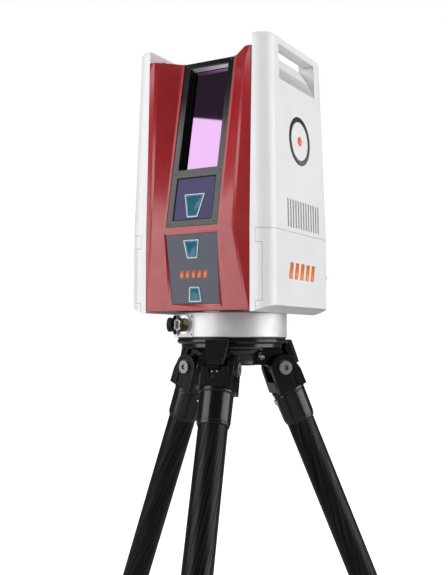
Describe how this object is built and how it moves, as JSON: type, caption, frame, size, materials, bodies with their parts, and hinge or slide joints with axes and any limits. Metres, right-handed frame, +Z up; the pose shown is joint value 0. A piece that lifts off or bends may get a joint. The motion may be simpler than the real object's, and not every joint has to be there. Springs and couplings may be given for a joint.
{
  "type": "terrestrial laser scanner",
  "caption": "Panning laser scanner head with a windowed front valley and side grips, on a turned base ring and a folding carbon tripod.",
  "frame": {"origin": "on the head's turning axis, at the mouth of the plumb-hook thread in the underside of the tripod hub", "axes": "+Z up along the turning axis, -Y towards the side that the windows face at rest, +X to the right of someone who looks at the windows"},
  "size_m": [0.5268, 0.5277, 1.0184],
  "materials": {
    "white_shell": "satin white lacquer",
    "red_cover": "deep red gloss lacquer",
    "frame_black": "satin black",
    "coated_glass": "polished, lilac coating",
    "purple_glass": "polished, dark violet",
    "panel_gloss": "dark blue-grey gloss",
    "teal_lens": "teal with a pale rim",
    "satin_aluminium": "turned and bead blasted",
    "connector_shell": "nickel plated",
    "black_casting": "black anodised casting",
    "dark_metal": "black anodised",
    "dark_plastic": "fine texture",
    "carbon_tube": "carbon fibre, satin",
    "steel": "turned",
    "contact_brass": "plated",
    "black_rubber": "moulded",
    "mirror_facets": "polished",
    "display_glass": "glossy touch screen",
    "board_green": "solder mask"
  },
  "bodies": {
    "stand": {"tripod_platform": "black_casting", "tripod_spider": "black_casting", "centre_screw": "steel", "hinge_bolts": "steel", "base_ring": "satin_aluminium", "base_plate": "satin_aluminium", "azimuth_bearing": "steel", "drive_stator": "steel", "data_connector": "connector_shell", "connector_contacts": "contact_brass", "connector_boss": "satin_aluminium"},
    "head": {"spindle": "steel", "chassis": "satin_aluminium", "side_shell_right": "white_shell", "side_shell_left": "white_shell", "vent_screens": "dark_plastic", "front_cover": "red_cover", "rear_cover": "red_cover", "top_cover": "red_cover", "display": "display_glass", "window_frame": "frame_black", "mirror_window": "coated_glass", "camera_window": "purple_glass", "lower_panel": "panel_gloss", "indicator_lenses": "teal_lens", "mirror_bearings": "steel", "mirror_motor": "dark_plastic", "rangefinder": "dark_metal", "camera_module": "dark_metal", "main_board": "board_green", "battery_right": "dark_plastic", "battery_left": "dark_plastic", "fan_housing": "dark_plastic"},
    "scan_mirror": {"scan_mirror": "mirror_facets"},
    "fan": {"fan_rotor": "dark_plastic"},
    "door_right": {"battery_door_right": "white_shell"},
    "door_left": {"battery_door_left": "white_shell"},
    "power_button": {"power_button": "dark_plastic"},
    "connector_cap": {"connector_cap": "black_rubber"},
    "leg_1": {"leg_1_shoulder": "black_casting", "leg_1_sleeve": "black_casting", "leg_1_upper_tube": "carbon_tube"},
    "latch_1": {"leg_1_latch": "black_casting"},
    "lock_1": {"leg_1_twist_lock": "black_rubber"},
    "lower_1": {"leg_1_lower_tube": "carbon_tube", "leg_1_foot": "black_rubber"},
    "leg_2": {"leg_2_shoulder": "black_casting", "leg_2_sleeve": "black_casting", "leg_2_upper_tube": "carbon_tube"},
    "latch_2": {"leg_2_latch": "black_casting"},
    "lock_2": {"leg_2_twist_lock": "black_rubber"},
    "lower_2": {"leg_2_lower_tube": "carbon_tube", "leg_2_foot": "black_rubber"},
    "leg_3": {"leg_3_shoulder": "black_casting", "leg_3_sleeve": "black_casting", "leg_3_upper_tube": "carbon_tube"},
    "latch_3": {"leg_3_latch": "black_casting"},
    "lock_3": {"leg_3_twist_lock": "black_rubber"},
    "lower_3": {"leg_3_lower_tube": "carbon_tube", "leg_3_foot": "black_rubber"}
  },
  "joints": [
    {"name": "head_azimuth", "type": "hinge", "parent": "stand", "child": "head", "pos_m": [0, 0, 0.06], "axis": [0, 0, 1], "continuous": true},
    {"name": "mirror_spin", "type": "hinge", "parent": "head", "child": "scan_mirror", "pos_m": [0, -0.018, 0.382], "axis": [1, 0, 0], "continuous": true},
    {"name": "fan_spin", "type": "hinge", "parent": "head", "child": "fan", "pos_m": [0.105, 0.007, 0.233], "axis": [1, 0, 0], "continuous": true},
    {"name": "door_right_swing", "type": "hinge", "parent": "head", "child": "door_right", "pos_m": [0.105, -0.11, 0.142], "axis": [0, 0, -1], "range_deg": [0, 95]},
    {"name": "door_left_swing", "type": "hinge", "parent": "head", "child": "door_left", "pos_m": [-0.105, -0.11, 0.142], "axis": [0, 0, 1], "range_deg": [0, 95]},
    {"name": "power_button_press", "type": "slide", "parent": "head", "child": "power_button", "axis": [0, -1, 0], "range_m": [0, 0.0015], "stiffness_N_per_m": 600, "springref_m": -0.001},
    {"name": "cap_swing", "type": "hinge", "parent": "stand", "child": "connector_cap", "pos_m": [-0.05468, -0.08262, 0.0632], "axis": [0, 0, 1], "range_deg": [-44, 61]},
    {"name": "leg_1_fold", "type": "hinge", "parent": "stand", "child": "leg_1", "pos_m": [0.02084, -0.07672, -0.004], "axis": [0.965, 0.2622, 0], "range_deg": [0, 22]},
    {"name": "leg_1_latch_pull", "type": "slide", "parent": "leg_1", "child": "latch_1", "axis": [0.2415, -0.889, 0.3891], "range_m": [0, 0.006], "stiffness_N_per_m": 300, "springref_m": -0.003},
    {"name": "leg_1_lock_twist", "type": "hinge", "parent": "leg_1", "child": "lock_1", "pos_m": [0.06614, -0.24345, -0.41301], "axis": [-0.102, 0.3755, 0.9212], "range_deg": [0, 90]},
    {"name": "leg_1_extend", "type": "slide", "parent": "leg_1", "child": "lower_1", "axis": [0.102, -0.3755, -0.9212], "range_m": [0, 0.28]},
    {"name": "leg_2_fold", "type": "hinge", "parent": "stand", "child": "leg_2", "pos_m": [0.05602, 0.05641, -0.004], "axis": [-0.7096, 0.7046, 0], "range_deg": [0, 22]},
    {"name": "leg_2_latch_pull", "type": "slide", "parent": "leg_2", "child": "latch_2", "axis": [0.6491, 0.6536, 0.3891], "range_m": [0, 0.006], "stiffness_N_per_m": 300, "springref_m": -0.003},
    {"name": "leg_2_lock_twist", "type": "hinge", "parent": "leg_2", "child": "lock_2", "pos_m": [0.17776, 0.179, -0.41301], "axis": [-0.2742, -0.2761, 0.9212], "range_deg": [0, 90]},
    {"name": "leg_2_extend", "type": "slide", "parent": "leg_2", "child": "lower_2", "axis": [0.2742, 0.2761, -0.9212], "range_m": [0, 0.28]},
    {"name": "leg_3_fold", "type": "hinge", "parent": "stand", "child": "leg_3", "pos_m": [-0.07686, 0.02031, -0.004], "axis": [-0.2554, -0.9668, 0], "range_deg": [0, 22]},
    {"name": "leg_3_latch_pull", "type": "slide", "parent": "leg_3", "child": "latch_3", "axis": [-0.8906, 0.2353, 0.3891], "range_m": [0, 0.006], "stiffness_N_per_m": 300, "springref_m": -0.003},
    {"name": "leg_3_lock_twist", "type": "hinge", "parent": "leg_3", "child": "lock_3", "pos_m": [-0.2439, 0.06444, -0.41301], "axis": [0.3762, -0.0994, 0.9212], "range_deg": [0, 90]},
    {"name": "leg_3_extend", "type": "slide", "parent": "leg_3", "child": "lower_3", "axis": [-0.3762, 0.0994, -0.9212], "range_m": [0, 0.28]}
  ]
}
